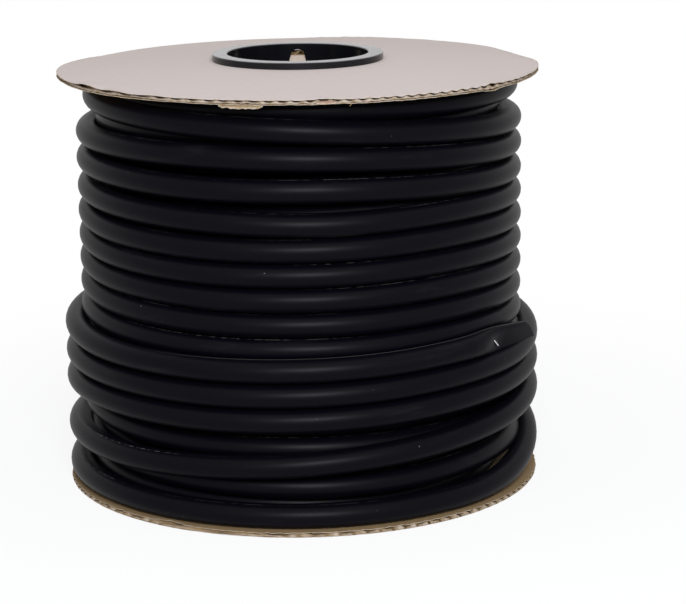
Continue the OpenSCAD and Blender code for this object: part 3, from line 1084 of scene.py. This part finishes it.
class REEL_OT_stage(BuildOperator, bpy.types.Operator):
    """Set up the camera, the floor, the lamps and the world"""

    bl_idname = "reel.stage"
    bl_label = "Stage"

    def build(self):
        self.camera()
        self.floor()
        self.lamp(
            "key light", side=0.52, power=36, azimuth=4, elevation=24, distance=1.9,
            tint=(0.85, 0.9, 1),
        )
        self.lamp("top light", side=2.4, power=15, azimuth=0, elevation=88, distance=2.0)
        self.world()
        bpy.context.scene.view_settings.view_transform = "Standard"

    def camera(self):
        data = bpy.data.cameras.new("camera")
        data.sensor_width = CAMERA_SENSOR
        data.lens = CAMERA_LENS
        camera = new_object("camera", data)
        camera.matrix_world = (
            Matrix.Translation(CAMERA_PLACE)
            @ Matrix.Rotation(-CAMERA_YAW, 4, "Z")
            @ Matrix.Rotation(math.pi / 2 - CAMERA_PITCH, 4, "X")
            @ Matrix.Rotation(CAMERA_ROLL, 4, "Z")
        )
        bpy.context.scene.camera = camera

    def lamp(self, name, side, power, azimuth, elevation, distance, tint=(1, 1, 1)):
        """A square lamp that faces the middle of the reel, from an azimuth and an elevation."""
        data = bpy.data.lights.new(name, "AREA")
        data.size = side
        data.energy = power
        data.color = tint
        lamp = new_object(name, data)
        a, e = math.radians(azimuth), math.radians(elevation)
        middle = Vector((0, 0, REEL_TOP / 2))
        lamp.location = middle + polar(a, distance * math.cos(e), distance * math.sin(e))
        lamp.rotation_mode = "QUATERNION"
        lamp.rotation_quaternion = (lamp.location - middle).to_track_quat("Z", "Y")

    def seen_white(self, g):
        """A value that is 1 for what the camera, a mirror or a clear piece sees."""
        rays = g.add("ShaderNodeLightPath").socket.node.outputs
        seen = Value(g, rays["Is Camera Ray"])
        for ray in ("Is Glossy Ray", "Is Transmission Ray"):
            seen = seen.maths("MAXIMUM", seen, Value(g, rays[ray]))
        return seen

    def floor(self):
        g = Graph("floor")
        lit = g.add("ShaderNodeBsdfDiffuse", None, FLOOR_COLOUR)
        white = g.add("ShaderNodeEmission", None, WHITE, 1.0)
        far = g.add("ShaderNodeVectorMath", {"operation": "LENGTH"}, g.place(), out="Value")
        whiter = far.between(FLOOR_WHITER_FROM, FLOOR_ALL_WHITE, FLOOR_WHITE, 1.0)
        mixed = g.add("ShaderNodeMixShader", None, self.seen_white(g) * whiter, lit, white)
        bm = bmesh.new()
        bmesh.ops.create_grid(bm, x_segments=1, y_segments=1, size=FLOOR_HALF)
        floor = new_mesh("floor", bm, g.show(mixed, "Material Output"))

    def world(self):
        g = Graph("studio", "worlds")
        room = g.add("ShaderNodeBackground", None, WHITE, ROOM_LIGHT)
        white = g.add("ShaderNodeBackground", None, WHITE, 1.0)
        mixed = g.add("ShaderNodeMixShader", None, self.seen_white(g), room, white)
        bpy.context.scene.world = g.show(mixed, "World Output")


class REEL_OT_winding(BuildOperator, bpy.types.Operator):
    """Wind the outer turns of the hose, with their flattened end and its staple"""

    bl_idname = "reel.winding"
    bl_label = "Hose winding"

    def build(self):
        s = sizes()
        rubber = rubber_material()
        shape = round_shape(s.hose_width + PRESSED_WIDER, s.hose_width - PRESSED_LOWER)
        stations = winding_stations(hose_centre, START_TURN, END_TURN, RINGS_PER_TURN, shape)
        winding = new_piece(
            "outer_hose_turns", tube(HOSE_SIDES, stations), rubber,
            replaces=["hose_winding"],
        )
        way = stations[-1][-1]
        tail_stations = [tail_station(k / TAIL_STEPS, way) for k in range(TAIL_STEPS + 1)]
        tail = new_piece(
            "flattened_end", tube(TAIL_SIDES, tail_stations), rubber,
            replaces=["hose_tail"],
        )
        staple = new_piece(
            "closing_staple", strand(staple_line(), s.staple_wire, 10), steel_material(),
            replaces=["tail_staple"],
        )
        for name, centre_at, start, end, rings in (
            ("layer_below", under_centre, UNDER_START, START_TURN, 60),
            ("deep_layer", deep_centre, DEEP_START, DEEP_START + DEEP_TURNS, 36),
            ("crossing_turn", crossing_centre, 0.02, 0.98, 60),
        ):
            inner = winding_stations(centre_at, start, end, rings, shape)
            new_piece(
                name, tube(INNER_SIDES, inner), rubber,
                replaces=["hose_inner_layers"],
            )


class REEL_OT_flanges(BuildOperator, bpy.types.Operator):
    """Make both board flanges from their liners and fluted sheets"""

    bl_idname = "reel.flanges"
    bl_label = "Board flanges"

    def build(self):
        c = colours()
        for board in (UPPER, LOWER):
            turn = board.flute_turn
            facing = paper_material(f"{board.side} facing", c.facing, turn, 0.05)
            kraft = paper_material(f"{board.side} kraft", c.kraft, turn, 0.2, 0.12)
            sheets = (
                ("outer_liner", liner(board, "outer_liner", PAPER / 2), facing),
                ("fluting", fluting(board), kraft),
                ("inner_liner", liner(board, "inner_liner", BOARD - PAPER / 2), kraft),
            )
            for name, bm, material in sheets:
                new_piece(
                    f"{board.side}_{name}_sheet", bm, material,
                    replaces=[f"{board.side}_flange_{name}"],
                )
        self.scraps()

    def scraps(self):
        """Torn paper along the front of the upper rim."""
        c = colours()
        kraft = paper_material("hanging kraft", c.kraft, UPPER.flute_turn, 0.0, 0.12)
        stained = paper_material("stained paper", c.stained, UPPER.flute_turn, 0.0, 0.12)
        inner = BOARD - PAPER / 2
        strip = scrap(UPPER, azimuth=-12.7, width=10, depth=inner, drop=2.6, curl=0.5)
        flap = scrap(UPPER, azimuth=6, width=4.6, depth=0.45 * BOARD, drop=1.6, curl=0.7)
        new_piece("hanging_liner", strip, kraft)
        new_piece("stained_flap", flap, stained)
        fibre = [polar(math.radians(a), r * MM, z * MM) for a, r, z in FIBRE]
        new_piece("loose_fibre", strand(fibre, FIBRE_WIDTH), kraft)


class REEL_OT_hub(BuildOperator, bpy.types.Operator):
    """Dress the core tube and the collars"""

    bl_idname = "reel.hub"
    bl_label = "Core and collars"

    def build(self):
        plastic = plastic_material()
        for name in ("upper_collar", "lower_collar"):
            self.dress(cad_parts[name], plastic)
        self.dress(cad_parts["core_tube"], core_material())

    def dress(self, node, material):
        node.data.materials.clear()
        node.data.materials.append(material)


OPERATORS = (REEL_OT_stage, REEL_OT_winding, REEL_OT_flanges, REEL_OT_hub)


class REEL_PT_panel(bpy.types.Panel):
    """Buttons that build the reel, with its sizes and colours"""

    bl_label = PANEL_NAME
    bl_idname = "REEL_PT_panel"
    bl_space_type = "VIEW_3D"
    bl_region_type = "UI"
    bl_category = PANEL_NAME

    def draw(self, context):
        for operator in OPERATORS:
            self.layout.operator(operator.bl_idname)
        for group in (context.scene.reel_sizes, context.scene.reel_colours):
            for name in group.bl_rna.properties.keys():
                if name not in ("rna_type", "name"):
                    self.layout.prop(group, name)


CLASSES = (ReelSizes, ReelColours, *OPERATORS, REEL_PT_panel)


def register():
    for cls in CLASSES:
        bpy.utils.register_class(cls)
    bpy.types.Scene.reel_sizes = bpy.props.PointerProperty(type=ReelSizes)
    bpy.types.Scene.reel_colours = bpy.props.PointerProperty(type=ReelColours)


def unregister():
    del bpy.types.Scene.reel_colours
    del bpy.types.Scene.reel_sizes
    for cls in reversed(CLASSES):
        bpy.utils.unregister_class(cls)


def main():
    register()
    for operator in OPERATORS:
        category, name = operator.bl_idname.split(".")
        getattr(getattr(bpy.ops, category), name)()


if __name__ == "__main__":
    main()
